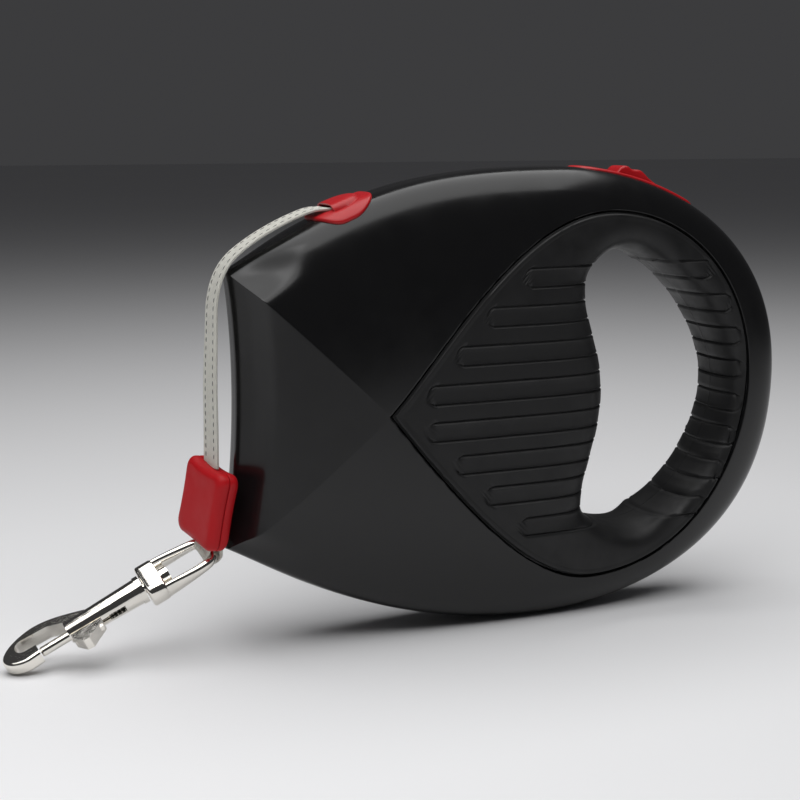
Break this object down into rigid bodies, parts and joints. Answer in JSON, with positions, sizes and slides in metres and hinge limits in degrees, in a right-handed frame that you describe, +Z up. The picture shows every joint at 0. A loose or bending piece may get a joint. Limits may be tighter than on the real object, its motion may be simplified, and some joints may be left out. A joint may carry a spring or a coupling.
{
  "type": "retractable leash",
  "caption": "Retractable tape leash: a flat black housing with a hand hole and rubber grip, thumb brake, sprung tape reel, bumper and swivel snap hook.",
  "frame": {"origin": "bottom centre of the casing, on the surface that the leash stands on", "axes": "+Z up, -X towards the nose where the tape leaves, +X towards the handle, Y = 0 is the plane where the casings meet"},
  "size_m": [0.2738, 0.044, 0.1539],
  "materials": {
    "gloss_black": "gloss",
    "grip_rubber": "matte",
    "red_plastic": "satin",
    "red_rubber": "satin",
    "reel_plastic": "matte",
    "chrome_steel": "polished",
    "spring_steel": "satin",
    "webbing": "woven"
  },
  "bodies": {
    "casing": {"left_casing": "gloss_black", "right_casing": "gloss_black", "left_grip": "grip_rubber", "right_grip": "grip_rubber", "casing_screws": "spring_steel", "reel_axle": "spring_steel", "axle_washers": "reel_plastic", "tape_lead": "webbing", "tape_run": "webbing", "tape_guide": "red_plastic", "brake_bezel": "red_plastic", "pawl_pin": "spring_steel", "brake_spring": "spring_steel", "tape_loop": "webbing", "bumper_front": "red_rubber", "bumper_back": "red_rubber"},
    "reel": {"reel_drum": "reel_plastic", "reel_cover": "reel_plastic", "ratchet_ring": "reel_plastic", "power_spring": "spring_steel", "wound_tape": "webbing"},
    "brake_slide": {"brake_carrier": "red_plastic"},
    "thumb_piece": {"brake_button": "red_plastic"},
    "pawl": {"brake_pawl": "reel_plastic"},
    "eye": {"hook_eye": "chrome_steel"},
    "snap": {"hook_body": "chrome_steel", "swivel_pin": "chrome_steel", "gate_spring": "spring_steel"},
    "gate": {"gate_bolt": "chrome_steel", "gate_knob": "chrome_steel"}
  },
  "joints": [
    {"name": "reel_spin", "type": "hinge", "parent": "casing", "child": "reel", "pos_m": [-0.042, 0, 0.078], "axis": [0, 1, 0], "continuous": true},
    {"name": "brake_press", "type": "slide", "parent": "casing", "child": "brake_slide", "axis": [0, 0, -1], "range_m": [0, 0.004], "stiffness_N_per_m": 400, "deforming": ["brake_spring"]},
    {"name": "lock_slide", "type": "slide", "parent": "brake_slide", "child": "thumb_piece", "axis": [-0.9925, 0, 0.122], "range_m": [0, 0.0045]},
    {"name": "pawl_pivot", "type": "hinge", "parent": "casing", "child": "pawl", "pos_m": [-0.008, 0, 0.131], "axis": [0, 1, 0], "range_deg": [0, 7]},
    {"name": "hook_swing", "type": "hinge", "parent": "casing", "child": "eye", "pos_m": [-0.1068, 0, 0.0333], "axis": [-0.2192, 0.866, 0.4494], "range_deg": [-50, 8]},
    {"name": "hook_swivel", "type": "hinge", "parent": "eye", "child": "snap", "pos_m": [-0.12927, 0, 0.02234], "axis": [-0.8988, 0, -0.4384], "continuous": true},
    {"name": "gate_slide", "type": "slide", "parent": "snap", "child": "gate", "axis": [0.8988, 0, 0.4384], "range_m": [0, 0.008], "stiffness_N_per_m": 250, "deforming": ["gate_spring"]}
  ],
  "couplings": [
    {"joint": "pawl_pivot", "follows": "brake_press", "rad_per_m": 28.8}
  ]
}
